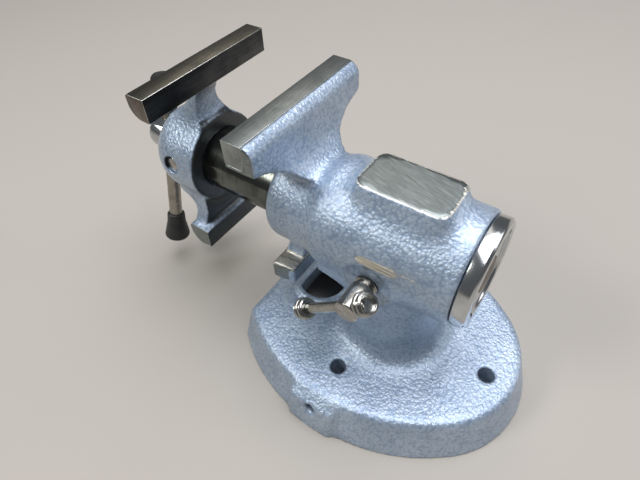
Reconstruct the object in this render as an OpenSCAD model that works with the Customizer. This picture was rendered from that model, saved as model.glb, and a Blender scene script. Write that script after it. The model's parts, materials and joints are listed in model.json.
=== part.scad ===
// Small bench vise: a cast body on an oval foot, a round slide, a front jaw drawn in by a screw.
// X runs along the barrel towards the rear cap, Y along the jaws, Z up.
// The origin is the middle of the foot, on the table.

/* [Foot] */
// Length of the whole oval along the barrel, before its front is cut flat
base_length = 138.4; // [132:0.2:160]
// Width of the oval foot across the barrel
base_width = 107.2; // [100:0.2:116]
// Height of the foot's top face
base_height = 19.2; // [17:0.2:22]
// Radius of the oval's two ends
base_end_radius = 44; // [40:0.5:46]
// How far the foot's flat front stands in front of the middle
front_cut = 50; // [48:0.2:54]
// How far the flat front leans in from the table to the rim
front_draft = 2; // [1:0.1:4]
// How far the skirt leans in from the table to the rim
base_draft = 4.6; // [3:0.1:6]
// Rounding of the rim
rim_round = 3.4; // [2:0.1:4.5]
// Thickness of the skirt
skirt_wall = 6.5; // [5:0.1:8]
// Thickness of the foot's top plate
top_plate = 7; // [5.5:0.1:8.5]
// Diameter of the bench bolt holes
hole_d = 6.8; // [5.5:0.1:8.5]
// Distance of the rear bolt hole from the middle
hole_reach_x = 52.4; // [49:0.1:54]
// How far the rear bolt hole is drilled to the near side
hole_rear_shift = 2.9; // [0:0.1:4]
// Distance of the side bolt holes from the middle
hole_reach_y = 33.2; // [31:0.1:36]
// Diameter of the solid bosses round the bolt holes
hole_boss_d = 17; // [14:0.5:20]
// Distance of the lug in front of the middle
lug_x = 1.4; // [0:0.1:3]
// How far the lug's face stands inside the foot's widest point
lug_inset = 1.6; // [0.4:0.1:2.4]
// Width of the flat lug on the rim
lug_width = 22; // [18:0.5:28]
// Diameter of the lug's hole
lug_hole_d = 5; // [4:0.1:6]
// Height of the lug's hole
lug_hole_z = 11.6; // [10:0.1:12.5]
// Depth of the lug's hole
lug_hole_depth = 11; // [7:0.5:12]
// Radius of the cored window in the top plate
window_r = 10.6; // [8:0.1:11.5]
// Distance of the window's centre in front of the middle
window_back = 30; // [29:0.1:32]
// Distance from the window's centre to its straight front edge
window_flat = 7; // [5:0.1:8]
// Width of the lip round the window
lip_width = 3; // [2:0.1:3.6]
// Height of the lip round the window
lip_height = 1.8; // [1:0.1:2.4]

/* [Column] */
// Distance of the column behind the middle of the foot
column_x = 7; // [5:0.1:9]
// Diameter of the column at its waist
column_d = 40.6; // [37:0.2:43]
// Radius of the fillet at the column's foot
column_fillet = 9; // [6:0.5:11]
// Diameter of the hollow up the column
column_core_d = 20; // [14:0.5:23]
// Height of the hollow's top
column_core_top = 42; // [34:0.5:44]
// Radius of the saddle that spreads from the column under the barrel
saddle_r = 12.5; // [10:0.5:13]
// Height where the saddle leaves the column
saddle_z = 39.5; // [36:0.5:42]

/* [Barrel] */
// Height of the slide's axis above the table
axis_z = 73; // [72:0.2:78]
// Diameter of the barrel behind its front shoulder
barrel_d = 45.4; // [43:0.2:48]
// Diameter of the barrel at its rear end
barrel_rear_d = 43.6; // [43.2:0.2:46]
// Distance of the front shoulder in front of the middle
barrel_front = 24; // [22:0.2:26]
// Distance of the rear end behind the middle
barrel_rear = 34.6; // [34:0.2:38]
// Rounding of the barrel's rear edge
barrel_edge = 0.7; // [0.4:0.1:1.6]
// Rounding of the front shoulder
shoulder_round = 6; // [4:0.2:8]
// Diameter of the collar round the slide
collar_d = 40; // [37:0.2:41.6]
// Rounding of the collar's front edge
collar_round = 4; // [2:0.2:5]
// Length of the flat pad on the barrel
pad_length = 34; // [28:0.2:38]
// Width of the flat pad on the barrel
pad_width = 20.6; // [17:0.2:24]
// Height of the pad above the barrel
pad_rise = 3; // [2:0.1:5]
// Rounding of the pad's corners
pad_corner = 4; // [2:0.2:6]

/* [Jaws] */
// Width of the jaws
jaw_width = 63.5; // [58:0.5:72]
// Height of the jaws' top edge above the axis
jaw_rise = 42.6; // [40:0.2:46]
// Distance of the fixed jaw's face in front of the middle
jaw_front = 44.1; // [44:0.1:46]
// Gap between the jaws as they stand
jaw_opening = 34.8; // [10:0.2:40]
// Depth of the fixed jaw's steel insert
rear_insert_depth = 8; // [6:0.1:8.4]
// Height of the fixed jaw's steel insert
rear_insert_height = 9.4; // [7:0.1:10.5]
// Width of the fixed jaw where it leaves the collar
jaw_root_width = 18; // [15:0.5:22]
// Depth of the fixed jaw's beam from its face to its back
beam_depth = 12; // [10.5:0.1:13.5]
// Length of the sweep from the beam's back to the barrel
sweep_length = 12.4; // [11:0.1:14]
// Radius of the shallow curve under the fixed jaw's fan
fan_r = 46; // [34:1:70]
// Depth of the moving jaw's steel insert
front_insert_depth = 8.8; // [8.4:0.1:10]
// Height of the moving jaw's steel insert
front_insert_height = 9.4; // [8.4:0.1:10.2]
// Rounding of the steel bar below in front
front_insert_round = 5.6; // [4:0.1:7]
// How far the moving jaw's top edge stands above the fixed jaw's
front_insert_rise = 2.2; // [0:0.1:3]
// Narrowest width of the moving jaw's neck
neck_width = 12; // [10:0.2:15]
// Radius of the neck's hollow flanks
neck_r = 20; // [18:0.5:22]
// Diameter of the pins that hold the inserts
insert_pin_d = 3.5; // [2.5:0.1:4]
// Width of the fixed lower jaw
lower_rear_width = 36; // [30:0.5:42]
// Width of the moving lower jaw
lower_front_width = 42; // [38:0.5:46]
// Height of the lower jaws
lower_height = 9; // [7:0.2:11]
// Height of the lower jaws' underside above the table
lower_z = 33.4; // [32:0.2:36]
// Depth of the fixed lower jaw
lower_depth = 10.6; // [8:0.2:12]
// Depth of the moving lower jaw
lower_front_depth = 12.4; // [10:0.2:14]
// Width of the web above the fixed lower jaw
fixed_web_width = 10; // [8:0.5:14]
// Width of the web above the moving lower jaw
moving_web_width = 30; // [24:0.5:32]

/* [Hub] */
// Diameter of the moving jaw's hub
hub_d = 40; // [38:0.2:42]
// Length of the hub
hub_length = 28.4; // [27.4:0.2:31]
// Radius of the hub's domed nose
hub_nose_r = 15; // [13:0.2:16]
// Diameter of the pocket over the slide's pin
pin_pocket_d = 8; // [7.6:0.1:9]
// Diameter of the slide's pin
slide_pin_d = 6; // [5:0.1:6.6]
// How far the pin leans up from level
slide_pin_lean = 8; // [0:1:12]

/* [Slide and screw] */
// Outside diameter of the slide
slide_d = 26.8; // [26:0.1:28]
// Bore of the slide
slide_bore_d = 19.6; // [19:0.1:20.2]
// Running clearance of the slide in the barrel, on the radius
slide_clearance = 0.06; // [0.02:0.01:0.1]
// Clearance of pieces that are pressed or pinned together, on the radius
seat_clearance = 0.02; // [0.01:0.01:0.04]
// Diameter of the screw
screw_d = 12; // [11:0.1:12.4]
// Clearance of the screw in its nut and hub, on the radius
screw_clearance = 0.06; // [0.03:0.01:0.1]
// Outside diameter of the long nut
nut_d = 17; // [16.6:0.1:18]
// Diameter of the screw's head
head_d = 16; // [15:0.1:17]
// Length of the screw's head
head_length = 10.8; // [10.4:0.1:12]
// Thickness of the thrust washer
washer_thick = 1.2; // [1:0.1:2]
// Length of the collar behind the hub's front wall
collar_length = 5; // [4:0.1:6]
// Width of the key under the slide
key_width = 4; // [3:0.1:5]

/* [Rear cap] */
// Diameter of the cap's disc
cap_d = 41.6; // [39:0.2:43]
// Thickness of the cap's disc
cap_thick = 5.3; // [4.6:0.1:6]
// Width of the groove between barrel and cap
cap_groove = 0.3; // [0.2:0.1:1]
// Diameter of the cap's spigot
cap_spigot_d = 33; // [32.4:0.2:35]
// Diameter of the sunk middle of the cap
cap_recess_d = 29; // [22:0.5:32]

/* [Handle] */
// Diameter of the handle rod
rod_d = 6.4; // [5.5:0.1:7]
// Lean of the handle from upright
handle_tilt = 14; // [-180:1:180]
// Reach of the handle below the axis as it stands
handle_low = 60.5; // [56:0.5:66]
// Reach of the handle above the axis as it stands
handle_high = 26.8; // [26:0.1:30]
// Length of a handle grip
grip_length = 15.5; // [14:0.5:17]
// Diameter of a grip at its outer end
grip_d = 12.7; // [12:0.1:14]
// Diameter of a grip at its inner end
grip_neck_d = 8.8; // [8.4:0.1:10]
// Clearance of the rod in the screw's head, on the radius
rod_clearance = 0.08; // [0.04:0.01:0.1]

/* [Slide lock] */
// Distance of the lock screw behind the middle of the foot
lock_x = 4.9; // [3.6:0.1:6]
// Height of the lock screw below the axis
lock_drop = 7.1; // [6.6:0.1:7.6]
// Diameter of the lock screw's thread
lock_d = 8; // [7:0.1:8.2]
// Diameter of the machined recess round the lock screw
spot_d = 19.4; // [18:0.2:20]
// Distance of the recess floor from the middle
spot_y = 21.5; // [21.2:0.1:21.7]
// Diameter of the boss round the recess
boss_d = 21.2; // [20.8:0.2:22.4]
// Distance of the boss's face from the middle
boss_y = 22.1; // [22:0.1:22.6]
// Length of the threaded neck between recess and head
lock_stem = 2.6; // [2:0.1:3.4]
// Diameter of the lock screw's head
lock_head_d = 9.2; // [8.8:0.1:10]
// Length of the lock screw's head
lock_head_length = 11.8; // [11:0.1:13]
// Distance of the T-bar from the head's flat end
t_bar_in = 3.8; // [3.4:0.1:4.6]
// Diameter of the T-bar
t_bar_d = 4.2; // [3.6:0.1:4.6]
// Slope of the T-bar
t_bar_slope = 42; // [-90:1:90]
// Distance between the T-bar's knobs, centre to centre
t_bar_span = 34.4; // [30:0.2:38]
// Diameter of a T-bar knob
knob_d = 9; // [8:0.1:9.6]
// Length of a T-bar knob
knob_length = 4.4; // [4:0.1:5.4]
// Width of the shoe that grips the slide
shoe_width = 9; // [8.6:0.1:9.4]
// Distance of the shoe's back from the middle
shoe_back = 15.8; // [15.4:0.1:16]
// How far the shoe reaches in front of the lock screw
shoe_front = 21; // [18:0.2:22]
// How far the shoe reaches behind the lock screw
shoe_rear = 4.6; // [4.5:0.1:5.5]

/* [Hidden] */
$fn = 96;
grow = 0.5;
half_len = base_length / 2;
half_wid = base_width / 2;
end_shift = half_len - base_end_radius;
oval_k = half_wid - base_end_radius;
side_shift = (end_shift * end_shift - oval_k * oval_k) / (2 * oval_k);
side_radius = half_wid + side_shift;
end_angle = atan2(side_shift, end_shift);
flank_step = 0.06;
jaw_top = axis_z + jaw_rise;
face_x = -jaw_front;
moving_x = face_x - jaw_opening;
hub_back = moving_x - 1.8;
hub_front = hub_back - hub_length;
slide_r = slide_d / 2;
bore_r = slide_r + slide_clearance;
slide_front = hub_back - 23;
bar_top = jaw_top + front_insert_rise;
bar_low = bar_top - front_insert_height;
slide_rear = 1.2;
cap_shoulder = barrel_rear;
cap_disc = cap_shoulder + cap_groove;
cap_rear = cap_disc + cap_thick;
cap_web = cap_rear - 3.2;
cap_floor = cap_rear - 1.2;
spigot_front = barrel_rear - 7;
nut_front = -25;
nut_tail_d = 14;
screw_rear = slide_rear - 0.4;
pin_x = hub_back - 12.6;
head_back = hub_front - washer_thick;
handle_x = head_back - head_length / 2;
pad_x = 7.6;
pad_top = axis_z + barrel_d / 2 + pad_rise;
lock_z = axis_z - lock_drop;
lock_head_y = -spot_y - lock_stem;
t_bar_y = lock_head_y - lock_head_length + t_bar_in;
t_bar_shift = t_bar_span / 2 - lock_head_d / 2 - knob_length / 2 - 0.05;
shoe_draw = 0.6;
key_front = -22;
key_length = 11;
key_bottom = axis_z - bore_r - 3;
key_top = axis_z - slide_r + 2.2;
key_screw_bite = 3;
lower_top = lower_z + lower_height;
beam_x = face_x + beam_depth;
sweep_x = beam_x + sweep_length;
paint = [0.42, 0.52, 0.65];
steel = [0.62, 0.63, 0.62];
dark_steel = [0.24, 0.24, 0.24];
brass = [0.72, 0.58, 0.30];
grip_black = [0.12, 0.12, 0.11];

body_casting();
rear_jaw_insert();
rear_jaw_pins();
front_jaw_casting();
front_jaw_insert();
front_jaw_pins();
slide_tube();
slide_pin();
slide_key();
key_screw();
spindle();
thrust_washer();
spindle_collar();
collar_pin();
spindle_nut();
nut_pin();
rear_cap();
handle_rod();
handle_grip_upper();
handle_grip_lower();
lock_screw();
t_bar();
t_bar_knob_left();
t_bar_knob_right();
lock_plug();

// Points along an arc
function arc(cx, cy, r, a0, a1, n = 8) =
  [for (i = [0:n]) let (a = a0 + (a1 - a0) * i / n) [cx + r * cos(a), cy + r * sin(a)]];

// A round piece turned about the slide's axis; the profile is radius, then X
module turned() translate([0, 0, axis_z]) rotate([0, 90, 0]) rotate_extrude() children();

// A bar along X on the slide's axis
module axle(d, x0, x1) translate([x0, 0, axis_z]) rotate([0, 90, 0]) cylinder(d = d, h = x1 - x0);

// A bar along Y
module cross_bar(d, x, z, y0, y1) translate([x, y0, z]) rotate([-90, 0, 0]) cylinder(d = d, h = y1 - y0);

// A side view drawn in X and Z, as thick as w about the middle
module side_view(w) translate([0, w / 2, 0]) rotate([90, 0, 0]) linear_extrude(w) children();

// A front view drawn in Y and Z, from x0 to x1
module front_view(x0, x1)
  translate([x0, 0, 0]) rotate([90, 0, 90]) linear_extrude(x1 - x0) children();

// The oval's wall as a profile: inset at the bottom and at the top, and a rounded top edge
module wall_profile(r, z0, z1, in0, in1, rr)
  polygon(concat([[0, z0], [r - in0, z0]], arc(r - in1 - rr, z1 - rr, rr, 0, 90, 5), [[0, z1]]));

// The part of the plan between the oval's two end arcs
module between_ends() let (far = base_length, c = cos(end_angle) * far, d = sin(end_angle) * far)
  polygon([[end_shift, 0], [end_shift + c, d], [-end_shift - c, d], [-end_shift, 0],
    [-end_shift - c, -d], [end_shift + c, -d]]);

// The oval: two turned ends, and between them the overlap of two large turned flanks
module oval(z0, z1, in0, in1, rr) {
  for (s = [-1, 1]) translate([s * end_shift, 0, 0]) rotate_extrude()
    wall_profile(base_end_radius, z0, z1, in0, in1, rr);
  intersection() {
    translate([0, -side_shift, 0]) rotate_extrude()
      wall_profile(side_radius - flank_step, z0, z1, in0, in1, rr);
    translate([0, side_shift, 0]) rotate_extrude()
      wall_profile(side_radius - flank_step, z0, z1, in0, in1, rr);
    translate([0, 0, z0 - 1]) linear_extrude(z1 - z0 + 2) between_ends();
  }
}

// What is cut away in front of the foot's flat front
module front_cutter() let (z = base_height - rim_round + 0.05, lean = front_draft / z)
  side_view(2 * base_width) polygon(concat(
    [[-base_length, -2], [-front_cut - front_draft - 2 * lean, -2]],
    arc(-front_cut + rim_round, z, rim_round, 180, 90, 5),
    [[-front_cut + rim_round, base_height + 2], [-base_length, base_height + 2]]));

// The three bench bolt positions
module at_holes() {
  translate([hole_reach_x, -hole_rear_shift, 0]) children();
  for (s = [-1, 1]) translate([0, s * hole_reach_y, 0]) children();
}

// The lug on the near rim, with a bevelled top
module lug() let (y = -half_wid + lug_inset)
  translate([-lug_x - lug_width / 2, 0, 0]) rotate([90, 0, 90]) linear_extrude(lug_width)
    polygon([[y, 0], [y, base_height - 4.4], [y + 3.2, base_height - 0.8], [y + 13, base_height - 0.8],
      [y + 13, 0]]);

// The foot's hollow underside, clear of the bolt bosses and the lug
module foot_hollow() difference() {
  oval(-1, base_height - top_plate, skirt_wall, base_draft + skirt_wall, 2);
  at_holes() translate([0, 0, -2]) cylinder(d = hole_boss_d, h = base_height);
  translate([-lug_x - lug_width / 2 - 3, -half_wid, -2])
    cube([lug_width + 6, lug_inset + lug_hole_depth + 2, base_height]);
  translate([-base_length, -base_width, -2])
    cube([base_length - front_cut + skirt_wall, 2 * base_width, base_height]);
}

// The outline of the window, a disc with a straight front edge
module window_outline(r, flat) intersection() {
  circle(r);
  translate([-flat, -2 * r]) square([4 * r, 4 * r]);
}

// The lip round the window, with a stepped bevel
module window_lip() translate([-window_back, 0, base_height - 1]) {
  linear_extrude(1 + lip_height * 0.6) window_outline(window_r + lip_width, window_flat + lip_width);
  linear_extrude(1 + lip_height)
    window_outline(window_r + lip_width * 0.75, window_flat + lip_width * 0.75);
}

// The column with its concave foot
module column() translate([column_x, 0, 0]) rotate_extrude()
  polygon(concat([[0, base_height - 3], [column_d / 2 + column_fillet, base_height - 3]],
    arc(column_d / 2 + column_fillet, base_height + column_fillet, column_fillet, 270, 180, 8),
    [[column_d / 2 - 0.4, axis_z - 6], [0, axis_z - 6]]));

// The saddle that spreads from the column forward under the barrel
module saddle() let (r = column_d / 2 - 0.5) intersection() {
  translate([column_x, 0, 0]) rotate_extrude()
    polygon(concat([[0, saddle_z - 2], [r, saddle_z - 2]],
      arc(r + saddle_r, saddle_z, saddle_r, 180, 90, 9),
      [[r + saddle_r, axis_z - 12], [0, axis_z - 12]]));
  translate([-barrel_front + 2.5, 0, axis_z - 18]) rotate([0, 90, 0])
    cylinder(r = 17, h = barrel_front + column_x);
}

// The boss round the lock screw's recess
module lock_boss() cross_bar(boss_d, lock_x, lock_z, -boss_y, -bore_r + 3);

// The barrel: rounded front shoulder, a slight taper to the rear
module barrel() turned()
  polygon(concat([[0, -barrel_front]],
    arc(barrel_d / 2 - shoulder_round, -barrel_front + shoulder_round, shoulder_round, -90, 0, 7),
    [[barrel_rear_d / 2, barrel_rear - barrel_edge]],
    arc(barrel_rear_d / 2 - barrel_edge, barrel_rear - barrel_edge, barrel_edge, 0, 90, 4),
    [[0, barrel_rear]]));

// The collar in front of the barrel
module collar() turned()
  polygon(concat([[0, face_x + 0.6]],
    arc(collar_d / 2 - collar_round, face_x + 0.6 + collar_round, collar_round, -90, 0, 6),
    [[collar_d / 2, -barrel_front + 4], [0, -barrel_front + 4]]));

// A rectangle with round corners
module round_rect(l, w, r) union() {
  square([l - 2 * r, w], center = true);
  square([l, w - 2 * r], center = true);
  for (sx = [-1, 1], sy = [-1, 1]) translate([sx * (l / 2 - r), sy * (w / 2 - r)]) circle(r, $fn = 32);
}

// The flat pad, spreading a little towards the barrel
module pad() hull() {
  translate([pad_x, 0, pad_top - 0.8]) linear_extrude(0.8) round_rect(pad_length, pad_width, pad_corner);
  translate([pad_x, 0, pad_top - 8]) linear_extrude(1)
    round_rect(pad_length + 4, pad_width + 5, pad_corner + 2);
}

// The fixed upper jaw: a fan in front view, in side view a beam that sweeps back to the barrel
module fixed_jaw() intersection() {
  front_view(face_x, sweep_x) fan();
  side_view(jaw_width + 2) polygon(concat(
    [[face_x, jaw_top], [face_x + rear_insert_depth, jaw_top]],
    arc(beam_x - 4.4, jaw_top - 4.4, 4.4, 80, 0, 5),
    arc(sweep_x, jaw_top - 12, sweep_x - beam_x, 180, 265, 9),
    [[sweep_x, axis_z], [face_x + 4.5, axis_z],
      [face_x + 4.5, axis_z + collar_d / 2 - 3], [face_x, jaw_top - 11]]));
}

// Front view of the fixed upper jaw
module fan() polygon(concat(
  [[-jaw_width / 2, jaw_top]],
  [for (p = fan_curve()) [-p[0], p[1]]],
  [[-jaw_root_width / 2, axis_z], [jaw_root_width / 2, axis_z]],
  [for (i = [len(fan_curve()) - 1:-1:0]) fan_curve()[i]],
  [[jaw_width / 2, jaw_top]]));

// The fan's hollow flank, from the jaw's end down to the collar, as a shallow arc between two points
function fan_curve() = let (
    top = [jaw_width / 2, jaw_top - 11],
    low = [jaw_root_width / 2, axis_z + collar_d / 2 - 3],
    chord = norm(top - low),
    mid = (top + low) / 2,
    away = [top[1] - low[1], low[0] - top[0]] / chord,
    c = mid + away * sqrt(fan_r * fan_r - chord * chord / 4),
    a0 = atan2(top[1] - c[1], top[0] - c[0]),
    a1 = atan2(low[1] - c[1], low[0] - c[0])
  ) arc(c[0], c[1], fan_r, a0, a1 < a0 ? a1 + 360 : a1, 9);

// The web from a round body down to its lower jaw, in front view
module web_outline(w, bar_w) polygon(concat(
  [[-bar_w / 2, lower_top - 1.4]],
  [for (p = web_curve(w, bar_w)) [-p[0], p[1]]],
  [[-w / 2, axis_z - 12], [w / 2, axis_z - 12]],
  [for (i = [len(web_curve(w, bar_w)) - 1:-1:0]) web_curve(w, bar_w)[i]],
  [[bar_w / 2, lower_top - 1.4]]));

// The hollow flank of that web, from the jaw's end up to the narrow part
function web_curve(w, bar_w) = let (
    wide = (bar_w - w) / 2,
    tall = axis_z - collar_d / 2 - lower_top,
    r = (wide * wide + tall * tall) / (2 * wide)
  ) arc(w / 2 + r, lower_top + tall, r, 180 + asin(min(1, tall / r)), 180, 9);

// The fixed lower jaw and its web
module fixed_lower_jaw() {
  translate([0, 0, lower_z]) linear_extrude(lower_height)
    polygon([[face_x, -lower_rear_width / 2], [face_x + lower_depth, -lower_rear_width / 2 + 1.6],
      [face_x + lower_depth, lower_rear_width / 2 - 1.6], [face_x, lower_rear_width / 2]]);
  intersection() {
    front_view(face_x + 0.2, -barrel_front + 8) web_outline(fixed_web_width, fixed_web_width + 8);
    side_view(lower_rear_width) polygon(concat(
      [[face_x + 0.8, lower_top - 2], [face_x + lower_depth - 0.6, lower_top - 2]],
      arc(face_x + lower_depth + 8.4, lower_top + 4, 9, 180, 95, 6),
      [[-barrel_front + 6, axis_z - 14], [face_x + 0.8, axis_z - 14]]));
  }
}

// Where the steel insert sits in the fixed jaw
module rear_insert_block(extra)
  translate([face_x - extra, -jaw_width / 2 - extra, jaw_top - rear_insert_height])
    cube([rear_insert_depth + extra, jaw_width + 2 * extra, rear_insert_height + extra]);

// The pins behind the fixed jaw's insert
module at_rear_pins(extra)
  for (s = [-1, 1]) translate([face_x + rear_insert_depth - 3.4, s * jaw_width * 0.3, jaw_top - 5.6])
    rotate([0, 90, 0]) cylinder(d = insert_pin_d + 2 * extra, h = 6 + extra);

// Cuts for the slide lock: the machined recess, the screw's thread and the shoe's pocket
module lock_cuts() {
  cross_bar(spot_d, lock_x, lock_z, -spot_y - 30, -spot_y);
  cross_bar(lock_d + 2 * screw_clearance, lock_x, lock_z, -spot_y - 1, -shoe_back + 1);
  shoe_block(slide_clearance, shoe_back + shoe_draw);
}

// The block that the shoe is cut from
module shoe_block(extra, back)
  translate([lock_x - shoe_front - extra, -back, lock_z - shoe_width / 2 - extra])
    cube([shoe_front + shoe_rear + 2 * extra, back - 4, shoe_width + 2 * extra]);

// Cuts for the key under the slide and the screw that holds it
module key_cuts() {
  translate([key_front, -key_width / 2 - seat_clearance, key_bottom])
    cube([key_length, key_width + 2 * seat_clearance, 6]);
  translate([key_front + 5, 0, axis_z - barrel_d]) cylinder(d = 3.2, h = barrel_d - bore_r);
  translate([key_front + 5, 0, axis_z - barrel_d]) cylinder(d = 6.2, h = barrel_d / 2 + 3.4);
}

// The body: foot, column, barrel, collar and the fixed jaws in one casting
module body_casting() color(paint) difference() {
  union() {
    difference() {
      oval(0, base_height, 0, base_draft, rim_round);
      front_cutter();
    }
    lug();
    window_lip();
    column();
    saddle();
    lock_boss();
    barrel();
    collar();
    pad();
    fixed_jaw();
    fixed_lower_jaw();
  }
  foot_hollow();
  at_holes() translate([0, 0, -1]) cylinder(d = hole_d, h = base_height + 2);
  cross_bar(lug_hole_d, -lug_x, lug_hole_z, -half_wid - 1, -half_wid + lug_inset + lug_hole_depth);
  translate([-window_back, 0, base_height - top_plate - 1]) linear_extrude(top_plate + 5)
    window_outline(window_r, window_flat);
  translate([column_x, 0, -1]) cylinder(d = column_core_d, h = column_core_top + 1);
  axle(2 * bore_r, face_x - 4, spigot_front + 1);
  axle(cap_spigot_d + 2 * seat_clearance, spigot_front - grow, barrel_rear + 2);
  rear_insert_block(1);
  at_rear_pins(seat_clearance);
  lock_cuts();
  key_cuts();
}

// The fixed jaw's steel bar
module rear_jaw_insert() color(steel) difference() {
  rear_insert_block(0);
  at_rear_pins(seat_clearance);
}

// Two pins that hold it
module rear_jaw_pins() color(steel) at_rear_pins(0);

// The moving jaw's hub: a round body with a domed nose
module hub() turned()
  polygon(concat([[0, hub_back], [0, hub_front]], nose_curve(),
    [[hub_d / 2, hub_front + hub_nose_r + 1.6], [hub_d / 2, hub_back]]));

// The dome from the flat front to the hub's side
function nose_curve() = let (c = hub_d / 2 - hub_nose_r, a = asin(0.96))
  arc(c, hub_front + hub_nose_r * 0.96, hub_nose_r, -a, 0, 9);

// The neck from the hub up to the steel bar, waisted in both views
module neck() intersection() {
  front_view(hub_front + 6, moving_x - 0.6) polygon(concat(
    [[-hub_d / 2 + 3, axis_z]],
    [for (p = neck_curve()) [-p[0], p[1]]],
    [for (i = [len(neck_curve()) - 1:-1:0]) neck_curve()[i]],
    [[hub_d / 2 - 3, axis_z]]));
  side_view(hub_d) polygon(concat(
    [[moving_x - 0.8, bar_low + 3]],
    arc(moving_x + 5.5, bar_low - 9, 11, 125, 222, 10),
    [[hub_back - 2, axis_z], [hub_front + 7, axis_z]],
    arc(moving_x - front_insert_depth - 19, bar_low + 3, 20, -70, 0, 9)));
}

// The neck's hollow flank
function neck_curve() = arc(neck_width / 2 + neck_r, bar_low - 5.6, neck_r, 230, 155, 12);

// Side view of the moving jaw's steel bar: flat top and face, rounded below in front
function bar_profile(extra) = concat(
  [[moving_x + extra, bar_low - extra], [moving_x + extra, bar_top + extra]],
  arc(moving_x - front_insert_depth + 1.2, bar_top - 1.2, 1.2 + extra, 90, 180, 4),
  arc(moving_x - front_insert_depth + front_insert_round, bar_low + front_insert_round,
    front_insert_round + extra, 186, 262, 9));

// The moving lower jaw, flat behind and rounded in front and below, and its web
module moving_lower_jaw() {
  side_view(lower_front_width) polygon(concat(
    [[moving_x - 0.6, lower_z], [moving_x - 0.6, lower_top + 1]],
    arc(moving_x - lower_front_depth + 1.6, lower_top - 0.6, 1.6, 90, 180, 4),
    arc(moving_x - lower_front_depth + 8, lower_z + 6.6, 8, 190, 248, 7)));
  intersection() {
    front_view(moving_x - 24, moving_x - 3.2) web_outline(moving_web_width, lower_front_width - 1);
    side_view(lower_front_width) polygon(concat(
      [[moving_x - 3.8, lower_top - 2], [moving_x - 3.8, axis_z - 14], [moving_x - 20, axis_z - 14]],
      arc(moving_x - lower_front_depth - 7.6, lower_top + 5, 9, 80, 0, 6),
      [[moving_x - lower_front_depth + 1.6, lower_top - 2]]));
  }
}

// The slide pin's own line, leaning up a little on the near side
module at_pin()
  translate([0, 0, axis_z]) rotate([-slide_pin_lean, 0, 0]) translate([0, 0, -axis_z]) children();

// The pins under the moving jaw's steel bar
module at_front_pins(extra)
  for (s = [-1, 1]) translate([moving_x - front_insert_depth / 2 - 2, s * 3, bar_low - 3])
    cylinder(d = insert_pin_d + 2 * extra, h = 8 + extra);

// The moving jaw: hub, neck and lower jaw in one casting
module front_jaw_casting() color(paint) difference() {
  union() {
    hub();
    neck();
    moving_lower_jaw();
  }
  axle(slide_d + 2 * seat_clearance, slide_front, 0);
  axle(screw_d + 2 * screw_clearance, hub_front - 2, hub_back);
  at_pin() {
    cross_bar(pin_pocket_d, pin_x, axis_z, -hub_d, -hub_d / 2 + 2.6);
    cross_bar(slide_pin_d + 2 * seat_clearance, pin_x, axis_z, -hub_d / 2, 0);
  }
  side_view(hub_d) polygon(bar_profile(seat_clearance));
  at_front_pins(seat_clearance);
}

// The moving jaw's steel bar, flat in front and round behind
module front_jaw_insert() color(dark_steel) difference() {
  side_view(jaw_width) polygon(bar_profile(0));
  at_front_pins(seat_clearance);
}

// Two pins that hold it
module front_jaw_pins() color(steel) at_front_pins(0);

// The round slide, hollow over the long nut, with a keyway underneath
module slide_tube() color(dark_steel) difference() {
  axle(slide_d, slide_front + seat_clearance, slide_rear);
  axle(slide_bore_d, slide_front - 1, slide_rear + 1);
  translate([key_front - jaw_opening - 1, -key_width / 2 - slide_clearance, axis_z - slide_r - 1])
    cube([jaw_opening + 60, key_width + 2 * slide_clearance, 3.5]);
  at_pin() cross_bar(slide_pin_d + 2 * seat_clearance, pin_x, axis_z, -hub_d, 0);
}

// The pin that locks the slide in the hub
module slide_pin() color(steel) at_pin()
  cross_bar(slide_pin_d, pin_x, axis_z, -hub_d / 2 + 1.4, -slide_bore_d / 2 - 0.2);

// The key that keeps the slide from turning
module slide_key() color(steel) difference() {
  translate([key_front, -key_width / 2, key_bottom])
    cube([key_length - 0.04, key_width, key_top - key_bottom]);
  translate([key_front + 5, 0, key_bottom - 1]) cylinder(d = 2.54, h = key_screw_bite + 1.2);
}

// The screw that holds the key from below
module key_screw() color(steel) translate([key_front + 5, 0, 0]) {
  translate([0, 0, axis_z - barrel_d / 2 + 1])
    cylinder(d = 2.5, h = key_bottom + key_screw_bite - axis_z + barrel_d / 2 - 1);
  difference() {
    translate([0, 0, axis_z - barrel_d / 2 + 0.8]) cylinder(d = 5.5, h = 2.6);
    translate([-3, -0.4, axis_z - barrel_d / 2 + 0.6]) cube([6, 0.8, 1.2]);
  }
}

// The screw with its round head, cross-drilled for the handle
module spindle() color(steel) difference() {
  union() {
    turned() polygon(concat([[0, head_back - head_length]],
      arc(head_d / 2 - 2, head_back - head_length + 2, 2, -90, 0, 5),
      arc(head_d / 2 - 0.8, head_back - 0.8, 0.8, 0, 90, 3), [[0, head_back]]));
    turned() polygon([[0, head_back - 1], [screw_d / 2, head_back - 1], [screw_d / 2, screw_rear - 1.2],
      [screw_d / 2 - 1.2, screw_rear], [0, screw_rear]]);
  }
  at_handle() cylinder(d = rod_d + 2 * rod_clearance, h = 4 * head_d, center = true);
  collar_pin_hole();
}

// The middle of the collar behind the hub's front wall
function collar_x() = slide_front + 0.2 + collar_length / 2;

// The hole for the pin through collar and screw
module collar_pin_hole() translate([collar_x(), 0, axis_z])
  cylinder(d = 2.5 + 2 * seat_clearance, h = 3 * screw_d, center = true);

// The washer between the screw's head and the hub
module thrust_washer() color(brass) difference() {
  axle(head_d + 1.2, head_back, hub_front);
  axle(screw_d + 0.3, head_back - 1, hub_front + 1);
}

// The collar that draws the hub along when the screw is turned out
module spindle_collar() color(steel) difference() {
  axle(slide_bore_d - 0.8, slide_front + 0.2, slide_front + 0.2 + collar_length);
  axle(screw_d + 2 * seat_clearance, slide_front - 1, slide_front + collar_length + 2);
  collar_pin_hole();
}

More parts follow.
